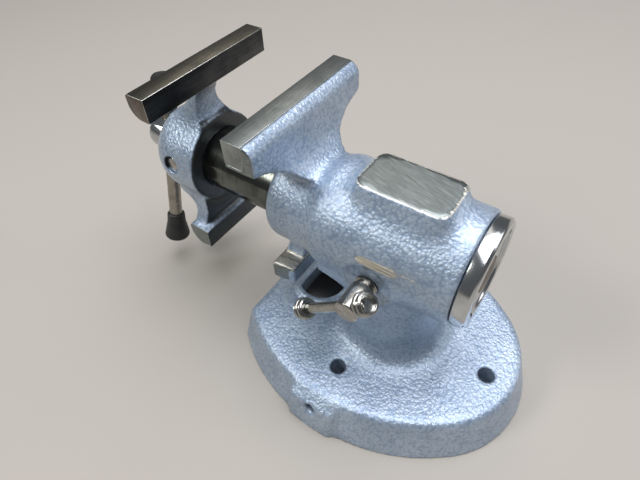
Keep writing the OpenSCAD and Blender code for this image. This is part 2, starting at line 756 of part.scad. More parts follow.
// The pin through collar and screw
module collar_pin() color(steel)
  translate([collar_x(), 0, axis_z]) cylinder(d = 2.5, h = slide_bore_d - 2, center = true);

// The long nut, fixed in the cap and reaching forward inside the slide
module spindle_nut() color(brass) difference() {
  turned() polygon([[0, nut_front], [nut_d / 2 - 1, nut_front], [nut_d / 2, nut_front + 1],
    [nut_d / 2, cap_web], [nut_tail_d / 2, cap_web], [nut_tail_d / 2, cap_floor + 0.4],
    [0, cap_floor + 0.4]]);
  axle(screw_d + 2 * screw_clearance, nut_front - 1, cap_web - 0.4);
  translate([cap_web + 0.2, 0, axis_z + nut_tail_d / 2]) rotate([0, 90, 0])
    cylinder(d = 1.6 + 2 * seat_clearance, h = 8);
}

// The small pin that keeps the nut from turning in the cap
module nut_pin() color(steel)
  translate([cap_web + 0.2, 0, axis_z + nut_tail_d / 2]) rotate([0, 90, 0])
    cylinder(d = 1.6, h = cap_floor - cap_web - 0.2);

// The rear cap: a cup with a spigot in the barrel, a groove, a rim and a sunk middle
module rear_cap() color(steel) difference() {
  turned() polygon([[0, spigot_front], [cap_spigot_d / 2, spigot_front], [cap_spigot_d / 2, cap_shoulder],
    [cap_d / 2 - 2.4, cap_shoulder], [cap_d / 2 - 2.4, cap_disc], [cap_d / 2 - 0.4, cap_disc],
    [cap_d / 2, cap_disc + 0.4], [cap_d / 2, cap_rear - 1], [cap_d / 2 - 1, cap_rear],
    [cap_recess_d / 2 + 1, cap_rear], [cap_recess_d / 2, cap_floor], [0, cap_floor]]);
  axle(slide_d + 1, spigot_front - 1, cap_web);
  axle(nut_tail_d + 2 * seat_clearance, cap_web - 1, cap_rear);
  translate([cap_web + 0.2, 0, axis_z + nut_tail_d / 2]) rotate([0, 90, 0])
    cylinder(d = 1.6 + 2 * seat_clearance, h = 8);
  for (a = [0, 180]) translate([cap_floor - 0.2, 0, axis_z]) rotate([a + 50, 0, 0])
    translate([0, cap_recess_d / 2 - 0.6, -1.6]) cube([4, 3, 3.2]);
}

// The handle's own line, leaning from upright
module at_handle() translate([handle_x, 0, axis_z]) rotate([-handle_tilt, 0, 0]) children();

// The rod of the handle
module handle_rod() color(steel) at_handle()
  translate([0, 0, -handle_low + 3]) cylinder(d = rod_d, h = handle_low + handle_high - 6);

// A flared grip with a rounded end, closed over the rod
module grip() color(grip_black) difference() {
  rotate_extrude() polygon(concat([[0, 0]], arc(grip_neck_d / 2 - 1, 1, 1, -90, 0, 4),
    [[grip_neck_d / 2 + 0.3, grip_length * 0.35]],
    arc(grip_d / 2 - 2.6, grip_length - 2.6, 2.6, 0, 90, 6), [[0, grip_length]]));
  translate([0, 0, -1]) cylinder(d = rod_d + 2 * seat_clearance, h = grip_length - 3 + 1);
}

// The grip above the screw's head
module handle_grip_upper() at_handle() translate([0, 0, handle_high - grip_length]) grip();

// The grip at the handle's low end
module handle_grip_lower()
  at_handle() mirror([0, 0, 1]) translate([0, 0, handle_low - grip_length]) grip();

// The lock screw: threaded end in the boss, a plain round head
module lock_screw() color(steel) difference() {
  union() {
    cross_bar(lock_d, lock_x, lock_z, lock_head_y - 1, -shoe_back - 0.05);
    translate([lock_x, lock_head_y, lock_z]) rotate([90, 0, 0]) rotate_extrude()
      polygon([[0, 0], [lock_head_d / 2 - 0.4, 0], [lock_head_d / 2, 0.4],
        [lock_head_d / 2, lock_head_length - 0.4], [lock_head_d / 2 - 0.4, lock_head_length],
        [0, lock_head_length]]);
  }
  at_t_bar(0) cylinder(d = t_bar_d + 2 * rod_clearance, h = 3 * lock_head_d, center = true);
}

// The T-bar's own line through the lock screw's head
module at_t_bar(along) translate([lock_x, t_bar_y, lock_z]) rotate([0, 90 - t_bar_slope, 0])
  translate([0, 0, along]) children();

// The rod of the T-bar
module t_bar() color(steel) at_t_bar(-t_bar_shift) cylinder(d = t_bar_d, h = t_bar_span, center = true);

// A turned knob with a groove round it and a hollow in its end
module knob() color(steel) difference() {
  rotate_extrude() polygon([[0, -knob_length / 2], [knob_d / 2 - 0.8, -knob_length / 2],
    [knob_d / 2, -knob_length / 2 + 0.8], [knob_d / 2, -0.4], [knob_d / 2 - 0.5, -0.1],
    [knob_d / 2 - 0.5, 0.3], [knob_d / 2, 0.6], [knob_d / 2, knob_length / 2 - 0.8],
    [knob_d / 2 - 0.8, knob_length / 2], [knob_d / 2 - 1.7, knob_length / 2],
    [knob_d / 2 - 2.1, knob_length / 2 - 0.5], [0, knob_length / 2 - 0.5]]);
  translate([0, 0, -knob_length]) cylinder(d = t_bar_d + 2 * seat_clearance, h = knob_length);
}

// The knob at the T-bar's low end
module t_bar_knob_left() at_t_bar(-t_bar_shift - t_bar_span / 2) mirror([0, 0, 1]) knob();

// The knob at the T-bar's high end
module t_bar_knob_right() at_t_bar(-t_bar_shift + t_bar_span / 2) knob();

// The brass shoe that the lock screw presses against the slide's flank
module lock_plug() color(brass) difference() {
  shoe_block(0, shoe_back);
  axle(2 * (slide_r + shoe_draw), lock_x - 2 * shoe_front, lock_x + 2 * shoe_front);
}
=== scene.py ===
import json
import math

import bpy
import numpy as np
from mathutils import Matrix, Vector


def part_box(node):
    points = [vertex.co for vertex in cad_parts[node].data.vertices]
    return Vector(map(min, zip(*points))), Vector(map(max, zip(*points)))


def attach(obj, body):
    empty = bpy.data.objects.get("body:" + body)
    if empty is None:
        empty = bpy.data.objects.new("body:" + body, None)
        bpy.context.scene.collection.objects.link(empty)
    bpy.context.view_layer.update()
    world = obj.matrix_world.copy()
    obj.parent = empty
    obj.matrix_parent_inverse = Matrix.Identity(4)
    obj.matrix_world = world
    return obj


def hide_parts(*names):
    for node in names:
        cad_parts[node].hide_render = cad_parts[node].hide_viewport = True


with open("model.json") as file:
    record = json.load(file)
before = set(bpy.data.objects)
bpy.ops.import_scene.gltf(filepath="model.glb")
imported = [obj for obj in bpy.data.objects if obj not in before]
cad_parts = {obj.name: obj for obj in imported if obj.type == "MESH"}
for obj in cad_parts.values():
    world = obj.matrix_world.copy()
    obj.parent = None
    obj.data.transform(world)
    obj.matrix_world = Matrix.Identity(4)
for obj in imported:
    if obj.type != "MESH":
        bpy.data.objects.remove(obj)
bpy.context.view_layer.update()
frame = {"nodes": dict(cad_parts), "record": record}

MM = 0.001
nodes = frame["nodes"]
home = {n: b for b, group in frame["record"]["behaviour"]["bodies"].items() for n in group}


def middle(node):
    """The middle of a node's box at rest, in millimetres to a tenth."""
    low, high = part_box(node)
    return [round((a + b) / 2 / MM, 1) for a, b in zip(low, high)]


# Places on the solids, in millimetres; the jaws open along X, and the near side is towards -Y
AXIS_Z = middle("slide_tube")[2]
BORE_R, BORE_FRONT, BORE_REAR = 13.46, -43, 28
BARREL_REAR = 33
COLLAR_R, COLLAR_FRONT = 20.8, -26
PAD_X, PAD_LONG, PAD_WIDE, PAD_TOP = 7.6, 17.2, 10.6, 98.7
FIXED_JAW_END, FIXED_JAW_LOW, FIXED_JAW_TOP = 31.2, 100, 114.8
LOCK_X, LOCK_Z = middle("lock_screw")[0::2]
SPOT_Y, SPOT_R, LOCK_BOSS_Y = -21.5, 9.7, -15
BOLT_HOLES = ((52.4, -2.9), (0, 33.2), (0, -33.2))
BOLT_HOLE_R = 3.4
FOOT_TOP, RIM_R = 19.2, 3.4
WALL_Y, WALL_DRAFT, WALL_R = -53.6, 0.24, 100
LUG_X, LUG_Y, LUG_HALF, LUG_TOP = -1.4, -52, 11.6, 17.6
LUG_HOLE_Z, LUG_HOLE_R, LUG_SINK = 11.6, 3, 0.6
WINDOW_X, WINDOW_LONG, WINDOW_WIDE, WINDOW_LIP = -30, 15, 14.5, 22
CORE_X, CORE_R, CORE_TOP = 7, 10.8, 43
KEY_X, KEY_HALF, KEY_TOP = -17, 4, 56
LOWER_JAW_BACK, LOWER_JAW_FACE, LOWER_JAW_END = -33, -43, 16.8
BAR_SEAT_BACK, BAR_SEAT_LOW = -35, 104.5
POCKET_X, POCKET_Z = middle("slide_pin")[0], 76
PIN_X, PIN_Y = middle("front_jaw_pins")[0], 3
NECK_X, NECK_Z, NECK_R = -106.7, 111.4, 20


# Colours and shader nodes

def lin(hexa):
    """An sRGB hex colour as linear red, green, blue, alpha."""
    out = []
    for i in (0, 2, 4):
        c = int(hexa[i:i + 2], 16) / 255
        out.append(c / 12.92 if c <= 0.04045 else ((c + 0.055) / 1.055) ** 2.4)
    return (*out, 1.0)


def grey(v):
    """A plain value as a ramp's colour."""
    return (v, v, v, 1.0)


def size(mm):
    """Texture scale for a pattern that repeats about every so many millimetres."""
    return 1.0 / (mm * MM)


def material(name):
    """A new material with its shader; returns the material, its tree and the shader."""
    m = bpy.data.materials.new(name)
    m.use_nodes = True
    t = m.node_tree
    t.nodes.clear()
    out = t.nodes.new("ShaderNodeOutputMaterial")
    bsdf = t.nodes.new("ShaderNodeBsdfPrincipled")
    t.links.new(bsdf.outputs[0], out.inputs["Surface"])
    return m, t, bsdf


def put(tree, kind, settings=None, out=0, stops=(), **sockets):
    """Adds a node with its settings and links, and returns one of its outputs.

    A socket goes by its name, or by its number as i0, i1; it takes a value or another node's output.
    """
    n = tree.nodes.new("ShaderNode" + kind)
    for k, v in (settings or {}).items():
        setattr(n, k, v)
    for k, v in sockets.items():
        s = n.inputs[int(k[1:])] if k[1:].isdigit() else n.inputs[k.replace("_", " ")]
        if isinstance(v, bpy.types.NodeSocket):
            tree.links.new(v, s)
        else:
            s.default_value = v
    if stops:
        points = n.color_ramp.elements
        while len(points) > 1:
            points.remove(points[-1])
        points[0].position, points[0].color = stops[0]
        for place, colour in stops[1:]:
            points.new(place).color = colour
    return n.outputs[out]


MULTIPLY = {"operation": "MULTIPLY"}
COLOURS = {"data_type": "RGBA"}
MIXED_COLOUR = 2


def total(tree, *terms):
    """The sum of values, each times its weight."""
    out = 0.0
    for value, weight in terms:
        out = put(tree, "Math", {"operation": "MULTIPLY_ADD"}, i0=value, i1=weight, i2=out)
    return out


def step(tree, value, at, sharp):
    """Nought below a value, one above it, with a soft edge."""
    over = put(tree, "Math", {"operation": "SUBTRACT"}, i0=value, i1=at)
    return put(tree, "Math", {"operation": "MULTIPLY", "use_clamp": True}, i0=over, i1=sharp)


# Finishes; depths are in millimetres, and coarse enough to show in the picture
PEBBLE, PEBBLE_DEPTH = 1.25, 0.2
LINE_DEPTH = 0.03


def hammered_enamel():
    """Pale blue enamel sprayed to a hammered skin on cast iron.

    Its pebbles break highlights into specks. The marks on the casting say where it is filed bare,
    rubbed through to streaks of steel, some of which also paint a highlight, and darkened with grime and
    painted shade.
    """
    m, t, b = material("hammered_enamel_sprayed")
    pos = put(t, "TexCoord", out="Object")
    marks = put(t, "Attribute", {"attribute_name": "marks"}, "Color")
    bare, wear_and_lit, dark = put(t, "SeparateColor", Color=marks).node.outputs

    # Rounded cells with wandering edges, and a fine orange peel on them
    wander = put(t, "TexNoise", out="Color", Vector=pos, Scale=size(1.3), Detail=4.0, Roughness=0.6)
    warped = put(t, "VectorMath", {"operation": "MULTIPLY_ADD"}, i0=wander, i1=(1.3 * MM,) * 3, i2=pos)
    cells = put(t, "TexVoronoi", {"feature": "SMOOTH_F1"}, "Distance",
                Vector=warped, Scale=size(PEBBLE), Smoothness=0.25)
    fine = put(t, "TexNoise", Vector=pos, Scale=size(0.7), Detail=3.0, Roughness=0.6)
    relief = total(t, (cells, -0.9), (fine, 0.6), (1.0, 0.75))

    # Broad unevenness of the coat, chips, streaks along the slide, and file marks
    broad = put(t, "TexNoise", Vector=pos, Scale=size(17.0), Detail=3.0, Roughness=0.6)
    chips = put(t, "TexNoise", Vector=pos, Scale=size(1.4), Detail=5.0, Roughness=0.7)
    along = put(t, "Mapping", Vector=pos, Scale=(size(14.0), size(0.7), size(0.7)))
    streaks = put(t, "TexNoise", Vector=along, Scale=1.0, Detail=4.0, Roughness=0.6)
    turned = put(t, "Mapping", Vector=pos, Rotation=(0, 0, 0.3))
    across = put(t, "Mapping", Vector=turned, Scale=(size(5.0), size(0.6), size(0.6)))
    file_marks = put(t, "TexNoise", Vector=across, Scale=1.0, Detail=4.0, Roughness=0.6)

    flake = put(t, "ValToRGB", Fac=relief,
                stops=((0.35, lin("93a6bd")), (0.6, lin("a8b8ca")), (0.85, lin("b4c2d2"))))
    shade = put(t, "ValToRGB", Fac=broad, stops=((0.35, lin("dde1e6")), (0.65, lin("ffffff"))))
    enamel = put(t, "Mix", {**COLOURS, "blend_type": "MULTIPLY"}, MIXED_COLOUR, i0=1.0, i6=flake, i7=shade)
    filed = put(t, "ValToRGB", Fac=file_marks,
                stops=((0.3, lin("717877")), (0.5, lin("7f8685")), (0.7, lin("959b99"))))
    # The colour of rubbed steel; above the lock's boss it also paints a highlight, and on the lower jaw's
    # top it paints light
    rubbed_and_lit = put(t, "ValToRGB", Fac=streaks, stops=((0.35, lin("b4ab98")), (0.6, lin("f3f1ea"))))

    uneven = total(t, (chips, 0.5), (streaks, 0.5), (1.0, -0.5))
    bare_part = step(t, total(t, (bare, 1.0), (uneven, 0.7)), 0.5, 8.0)
    worn_and_lit_part = step(t, total(t, (wear_and_lit, 1.0), (uneven, 1.3)), 0.6, 5.0)
    metal = put(t, "Math", {"operation": "MAXIMUM"}, i0=bare_part, i1=worn_and_lit_part)
    coat = put(t, "Math", {"operation": "SUBTRACT"}, i0=1.0, i1=metal)
    # Painted shade with some grime: the dark marks, broken up by chips, take the colour towards near-black
    # grey and flatten the pebbles
    grime_and_shade = step(t, total(t, (dark, 1.6), (chips, 1.0)), 0.75, 1.4)

    shown_metal = put(t, "Mix", COLOURS, MIXED_COLOUR, i0=worn_and_lit_part, i6=filed, i7=rubbed_and_lit)
    clean = put(t, "Mix", COLOURS, MIXED_COLOUR, i0=metal, i6=enamel, i7=shown_metal)
    colour = put(t, "Mix", COLOURS, MIXED_COLOUR, i0=grime_and_shade, i6=clean, i7=lin("2b2f32"))
    t.links.new(colour, b.inputs["Base Color"])
    t.links.new(total(t, (metal, 0.5), (1.0, 0.5)), b.inputs["Metallic"])
    t.links.new(total(t, (fine, 0.24), (1.0, 0.28)), b.inputs["Roughness"])
    t.links.new(put(t, "Math", MULTIPLY, i0=coat, i1=0.6), b.inputs["Coat Weight"])
    b.inputs["Coat Roughness"].default_value = 0.24

    clear = put(t, "Math", MULTIPLY, i0=coat, i1=total(t, (grime_and_shade, -0.8), (1.0, 1.0)))
    pebbles = put(t, "Math", MULTIPLY, i0=relief, i1=clear)
    pits = put(t, "Math", MULTIPLY, i0=chips, i1=worn_and_lit_part)
    height = total(t, (pebbles, 1.0), (pits, 0.9), (file_marks, 0.12))
    bump = put(t, "Bump", Strength=1.0, Distance=PEBBLE_DEPTH * MM, Height=height)
    t.links.new(bump, b.inputs["Normal"])
    t.links.new(bump, b.inputs["Coat Normal"])
    return m


def metal_look(name, light, dark, rough, pattern):
    """What the metals share: lines and stains that vary colour and gloss, and lines in the relief."""
    m, t, b = material(name)
    lines, stain = pattern(t, put(t, "TexCoord", out="Object"))
    tone = total(t, (lines, 0.5), (stain, 0.5))
    colour = put(t, "ValToRGB", Fac=tone, stops=((0.36, lin(dark)), (0.62, lin(light))))
    gloss = put(t, "ValToRGB", Fac=tone, stops=((0.35, grey(rough + 0.14)), (0.65, grey(rough))))
    bump = put(t, "Bump", Strength=0.25, Distance=LINE_DEPTH * MM, Height=lines)
    t.links.new(colour, b.inputs["Base Color"])
    t.links.new(gloss, b.inputs["Roughness"])
    t.links.new(bump, b.inputs["Normal"])
    b.inputs["Metallic"].default_value = 1.0
    return m


def drawn_metal(name, light, dark, rough, lines_mm, stain_mm=9.0):
    """Metal with fine lines, as long and wide as the sizes along X, Y and Z, and broad darker stains."""
    def pattern(t, pos):
        drawn_out = put(t, "Mapping", Vector=pos, Scale=[size(v) for v in lines_mm])
        lines = put(t, "TexNoise", Vector=drawn_out, Scale=1.0, Detail=4.0, Roughness=0.65)
        return lines, put(t, "TexNoise", Vector=pos, Scale=size(stain_mm), Detail=4.0, Roughness=0.6)
    return metal_look(name, light, dark, rough, pattern)


def turned_metal(name, light, dark, rough, ring_mm, stain_mm=7.0):
    """Metal turned on a lathe: fine rings round the slide's axis that draw highlights into bands."""
    def pattern(t, pos):
        x, y, z = put(t, "SeparateXYZ", Vector=pos).node.outputs
        above = put(t, "Math", {"operation": "SUBTRACT"}, i0=z, i1=AXIS_Z * MM)
        off_axis = put(t, "CombineXYZ", Y=y, Z=above)
        reach = put(t, "VectorMath", {"operation": "LENGTH"}, "Value", i0=off_axis)
        rings = put(t, "CombineXYZ", X=x, Y=reach)
        lines = put(t, "TexNoise", Vector=rings, Scale=size(ring_mm), Detail=4.0, Roughness=0.65)
        return lines, put(t, "TexNoise", Vector=pos, Scale=size(stain_mm), Detail=4.0, Roughness=0.6)
    return metal_look(name, light, dark, rough, pattern)


def moulded_rubber():
    """Black rubber, moulded: satin, with a faint grain in the gloss and grey dust in the colour."""
    m, t, b = material("black_rubber_moulded")
    pos = put(t, "TexCoord", out="Object")
    grain = put(t, "TexNoise", Vector=pos, Scale=size(0.5), Detail=2.0)
    dust = put(t, "TexNoise", Vector=pos, Scale=size(7), Detail=3.0)
    colour = put(t, "ValToRGB", Fac=dust, stops=((0.4, lin("1d1e1d")), (0.7, lin("2b2c2a"))))
    gloss = put(t, "ValToRGB", Fac=grain, stops=((0.3, grey(0.42)), (0.7, grey(0.56))))
    t.links.new(colour, b.inputs["Base Color"])
    t.links.new(gloss, b.inputs["Roughness"])
    return m


ALONG_Y = (0.4, 16.0, 0.4)
SAW_LINES = (0.3, 0.3, 6.0)
ROD_LINES = (0.3, 0.3, 12.0)
EVEN = (0.5, 0.5, 0.5)
paint = hammered_enamel()
black = moulded_rubber()
# Edges that hands and work have rubbed: thin bright lines round the bars
worn_edge = drawn_metal("edge_steel_rubbed_bright", "f4f3ee", "9a9b94", 0.36, EVEN, 2.5)
# The fixed bar: grey satin with grinding lines along the jaw
ground = drawn_metal("ground_steel_scratched", "a2a7a5", "676d6b", 0.32, ALONG_Y)
# The moving bar: nearly black, with an oily sheen
dark_steel = drawn_metal("dark_steel_oiled", "4e4f50", "2c2e31", 0.26, ALONG_Y)
# The moving bar's top: brownish where the black is rubbed thin
brown_steel = drawn_metal("brown_steel_rubbed", "7b776b", "44433d", 0.28, ALONG_Y)
# The moving bar's ends: warm grey, with upright saw lines
sawn = drawn_metal("sawn_steel_end", "857c73", "5f5851", 0.34, SAW_LINES)
# The slide: dark and glossy, with bands along it
slide = turned_metal("turned_steel_oiled", "6d706b", "3f423f", 0.16, 0.5)
# The cap and the screw's head: bright, with clear reflections
polished = turned_metal("polished_steel_turned", "d3d5d6", "a6aaad", 0.1, 0.2)
# The handle: a dull warm grey rod with lines along it
rod_steel = drawn_metal("drawn_steel_rod", "aaa59b", "77726a", 0.24, ROD_LINES)
# The lock: plated, glossy and slightly warm
nickel = drawn_metal("bright_nickel_plate", "bdbcb7", "84837d", 0.15, EVEN, 3.0)
# The washer, nut and shoe: dull brown metal
bronze = turned_metal("turned_bronze_oiled", "6f5d42", "40362a", 0.32, 0.4)

finishes = (
    (paint, ("body_casting", "front_jaw_casting")),
    (ground, ("rear_jaw_insert", "rear_jaw_pins", "front_jaw_pins", "slide_key", "key_screw",
              "spindle_collar", "collar_pin", "nut_pin")),
    (dark_steel, ("front_jaw_insert",)),
    (slide, ("slide_tube",)),
    (polished, ("spindle", "rear_cap")),
    (bronze, ("thrust_washer", "spindle_nut", "lock_plug")),
    (rod_steel, ("handle_rod",)),
    (black, ("handle_grip_upper", "handle_grip_lower")),
    (nickel, ("slide_pin", "lock_screw", "t_bar", "t_bar_knob_left", "t_bar_knob_right")),
)
for mat, group in finishes:
    for node in group:
        nodes[node].data.materials.clear()
        nodes[node].data.materials.append(mat)


# Making pieces from copies of the solids
EDGE_ANGLE, SMOOTH_ANGLE = math.radians(35), math.radians(38)


def only(o):
    """Makes one object the only one selected, and active."""
    for other in bpy.context.selected_objects:
        other.select_set(False)
    o.select_set(True)
    bpy.context.view_layer.objects.active = o


def outline_piece(name, points, edges, faces):
    """A new selected object from a drawn outline in millimetres, for a modifier to finish."""
    me = bpy.data.meshes.new(name)
    me.from_pydata([[v * MM for v in p] for p in points], edges, faces)
    o = bpy.data.objects.new(name, me)
    bpy.context.collection.objects.link(o)
    only(o)
    return o


def copy_of(node, *mats):
    """A new piece from a copy of a node's mesh, with its doubled points merged and its own finishes."""
    o = bpy.data.objects.new(node + "_dressed", nodes[node].data.copy())
    bpy.context.collection.objects.link(o)
    o.data.materials.clear()
    for m in mats:
        o.data.materials.append(m)
    only(o)
    bpy.ops.object.mode_set(mode="EDIT")
    bpy.ops.mesh.select_all(action="SELECT")
    bpy.ops.mesh.remove_doubles(threshold=0.002 * MM)
    bpy.ops.mesh.dissolve_limited(angle_limit=0.005)
    bpy.ops.object.mode_set(mode="OBJECT")
    return o


def stand_in(o, node):
    """Puts a piece in a node's place on the same body."""
    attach(o, home[node])
    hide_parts(node)
    return o


def dressed(node, mats, width=0.2, edge=False):
    """A small piece with its sharp edges broken; the broken edges can have the second finish."""
    o = copy_of(node, *mats)
    mod = o.modifiers.new("edges", "BEVEL")
    mod.width, mod.segments = width * MM, 2
    mod.limit_method, mod.angle_limit = "ANGLE", EDGE_ANGLE
    mod.material = 1 if edge else -1
    bpy.ops.object.modifier_apply(modifier="edges")
    bpy.ops.object.shade_smooth_by_angle(angle=SMOOTH_ANGLE)
    return stand_in(o, node)


def finish_faces(o, direction, index):
    """Gives the faces that look in one direction another of the piece's finishes."""
    for p in o.data.polygons:
        if p.material_index == 0 and p.normal.dot(direction) > 0.94:
            p.material_index = index


def ringed_end(o, direction, rings):
    """Turns rings into a round end: each has a width and a depth in millimetres."""
    only(o)
    for v in (*o.data.vertices, *o.data.edges, *o.data.polygons):
        v.select = False
    ends = [p for p in o.data.polygons if p.normal.dot(direction) > 0.99]
    max(ends, key=lambda p: p.center.dot(direction)).select = True
    bpy.ops.object.mode_set(mode="EDIT")
    bpy.context.tool_settings.mesh_select_mode = (False, False, True)
    for wide, deep in rings:
        bpy.ops.mesh.inset(thickness=wide * MM, depth=deep * MM, use_even_offset=False)
    bpy.ops.object.mode_set(mode="OBJECT")


class Skin:
    """An evenly meshed copy of a casting, whose points can be moved as one array in millimetres."""

    SMOOTHING = (0.5, -0.52) * 4
    PULL = 0.5

    def __init__(self, node, voxel, filler=None):
        self.node, self.voxel = node, voxel
        self.o = copy_of(node, paint)
        if filler:
            filler.select_set(True)
            bpy.ops.object.join()
        mod = self.o.modifiers.new("even", "REMESH")
        mod.mode, mod.voxel_size = "VOXEL", voxel * MM
        bpy.ops.object.modifier_apply(modifier="even")
        me = self.o.data
        self.n = len(me.vertices)
        co = np.empty(self.n * 3)
        me.vertices.foreach_get("co", co)
        self.co = co.reshape(-1, 3) / MM
        pairs = np.empty(len(me.edges) * 2, int)
        me.edges.foreach_get("vertices", pairs)
        self.a, self.b = pairs.reshape(-1, 2).T
        self.count = np.bincount(self.a, minlength=self.n) + np.bincount(self.b, minlength=self.n)
        for share in self.SMOOTHING:
            self.co += (self.mean(self.co) - self.co) * share

    def mean(self, values):
        """The mean of each point's neighbours."""
        sums = []
        for column in values.reshape(self.n, -1).T:
            from_b = np.bincount(self.a, column[self.b], self.n)
            sums.append(from_b + np.bincount(self.b, column[self.a], self.n))
        return (np.array(sums) / self.count).T.reshape(values.shape)

    def normals(self):
        """Puts the points back in the mesh and returns its normals."""
        me = self.o.data
        me.vertices.foreach_set("co", (self.co * MM).ravel())
        me.update()
        out = np.empty(self.n * 3, np.float32)
        me.vertex_normals.foreach_get("vector", out)
        return out.reshape(-1, 3).astype(float)

    def soften(self, rounds, edge_rounds, free):
        """Grows soft fillets in the hollow corners that are free, and rounds off the sharp edges there."""
        for i in range(rounds):
            if i % 6 == 0:
                normal = self.normals()
            to_mean = self.mean(self.co) - self.co
            hollow = np.einsum("ij,ij->i", to_mean, normal) > 0
            share = np.where(hollow, self.PULL * free, self.PULL * (free > 0) * (i < edge_rounds))
            self.co += to_mean * share[:, None]

    def edges(self):
        """One on edges that stand out, nought where the surface is flat or hollow."""
        hollowness = np.einsum("ij,ij->i", self.mean(self.co) - self.co, self.normals()) / self.voxel
        return np.clip((-hollowness - 0.05) / 0.12, 0, 1)

    def finish(self, bare, dark, edge_wear, rubbed_and_lit, share=1):
        """Writes the marks that the paint reads, keeps a share of the faces, and puts the piece in place."""
        wear_and_lit = np.maximum(self.edges() * edge_wear, rubbed_and_lit)
        for _ in range(2):
            wear_and_lit = 0.5 * wear_and_lit + 0.5 * self.mean(wear_and_lit)
        marks = self.o.data.attributes.new("marks", "FLOAT_COLOR", "POINT")
        marks.data.foreach_set("color", np.stack([bare, wear_and_lit, dark, np.ones(self.n)], 1).ravel())
        self.normals()
        only(self.o)
        if share < 1:
            mod = self.o.modifiers.new("lighter", "DECIMATE")
            mod.ratio = share
            bpy.ops.object.modifier_apply(modifier="lighter")
        bpy.ops.object.shade_smooth()
        return stand_in(self.o, self.node)


def near(v, at, reach):
    """Whether a value lies within reach of another."""
    return np.abs(v - at) < reach


def fade(v, at, reach):
    """One at a value, falling off on both sides."""
    return np.exp(-((v - at) / reach) ** 2)


def span(v, low, high, soft):
    """One between two values, with soft ends."""
    return np.clip((v - low) / soft, 0, 1) * np.clip((high - v) / soft, 0, 1)


def ease(v):
    """Nought to one with a soft start and end."""
    v = np.clip(v, 0, 1)
    return v ** 2 * (3 - 2 * v)


def amounts(start, *places):
    """An amount for each point: the start, and then what each place in turn asks for."""
    out = np.array(start, float)
    for place, amount in places:
        out[place] = amount
    return out


def to_round_wall(u, v, middle_u, middle_v, radius, picked):
    """Moves the picked points straight out or in to a round wall."""
    scale = radius / np.hypot(u - middle_u, v - middle_v)[picked]
    u[picked] = middle_u + (u - middle_u)[picked] * scale
    v[picked] = middle_v + (v - middle_v)[picked] * scale


# The body's casting
BODY_VOXEL, BODY_SHARE = 0.72, 0.62
BODY_FILLET_ROUNDS, BODY_EDGE_ROUNDS = 150, 5
LUG_FILLET_ROUNDS, LUG_EDGE_ROUNDS, SHOULDER_ROUNDS = 9, 3, 18
LUG_SIDE, LUG_SLOPE, LUG_STAND, LUG_STAND_RISE = 1.8, 3.6, 1.4, 0.08
LOWER_JAW_LOW, LOWER_JAW_TOP = 24, 43.2
NEAR_FLANK = -12
# Rubbed bands on the barrel's near side, the first, above the lock's boss, also painting a highlight along
# its edge: amount, height, half height, front end, rear end, soft ends
RUBBED_AND_HIGHLIGHT_BANDS = ((1.6, 77.8, 1.8, -2, 17, 4), (0.66, 79.5, 4.5, 6, 28, 6))


def lug_face(x, z):
    """The foot's drafted near wall, and how far the lug stands out of it with soft sides and a soft top."""
    rim = np.clip((z - FOOT_TOP + RIM_R) / RIM_R, 0, 1)
    wall = WALL_Y + WALL_DRAFT * z + x ** 2 / (2 * WALL_R) + RIM_R * (1 - np.sqrt(1 - rim ** 2))
    side = ease((LUG_HALF - np.abs(x - LUG_X)) / LUG_SIDE)
    top = ease((LUG_TOP - z) / LUG_SLOPE)
    return wall, (LUG_STAND + LUG_STAND_RISE * z) * side * top


def body_fillets(skin):
    """Soft fillets all over the casting, but not where it is machined, cored or seated."""
    x, y, z = skin.co.T
    machined = (np.hypot(y, z - AXIS_Z) < BORE_R + 1.2) | (x > BARREL_REAR)
    machined |= (np.hypot(x - LOCK_X, z - LOCK_Z) < SPOT_R + 0.5) & (y < LOCK_BOSS_Y)
    foot = z < FOOT_TOP - 0.6
    window = near(x, WINDOW_X, WINDOW_LONG) & near(y, 0, WINDOW_WIDE) & (z < WINDOW_LIP)
    core = (np.hypot(x - CORE_X, y) < CORE_R) & (z < CORE_TOP)
    key = near(x, KEY_X, KEY_HALF) & near(y, 0, KEY_HALF) & (z < KEY_TOP)
    bar_seat = (x < BAR_SEAT_BACK) & (z > BAR_SEAT_LOW)
    lower_jaw = (x < LOWER_JAW_BACK) & (z < LOWER_JAW_TOP + 0.8)
    kept = machined | foot | window | core | key | bar_seat | lower_jaw
    for hole_x, hole_y in BOLT_HOLES:
        kept |= np.hypot(x - hole_x, y - hole_y) < BOLT_HOLE_R + 1.4
    skin.soften(BODY_FILLET_ROUNDS, BODY_EDGE_ROUNDS, 1.0 * ~kept)


def body_lug(skin):
    """The lug on the near wall: its face leans with the wall, and its top runs out below the rim."""
    x, y, z = skin.co.T
    wall, stand = lug_face(x, z)
    outside = near(x, LUG_X, LUG_HALF + 1) & (y < wall + 0.6) & (z < FOOT_TOP - 0.3)
    y[outside] = (wall - stand)[outside]
    around = near(x, LUG_X, LUG_HALF + 3.4) & (y < LUG_Y + 6.5) & (z > 1.5) & (z < FOOT_TOP + 0.4)
    hole = np.hypot(x - LUG_X, z - LUG_HOLE_Z) < LUG_HOLE_R + 1.2
    skin.soften(LUG_FILLET_ROUNDS, LUG_EDGE_ROUNDS, 1.0 * (around & ~hole))
    shoulder = near(x, LUG_X, LUG_HALF + 2) & (y < LUG_Y + 7)
    shoulder &= (z > LUG_HOLE_Z + 4) & (z < FOOT_TOP - 0.15)
    skin.soften(SHOULDER_ROUNDS, SHOULDER_ROUNDS, 1.0 * shoulder)


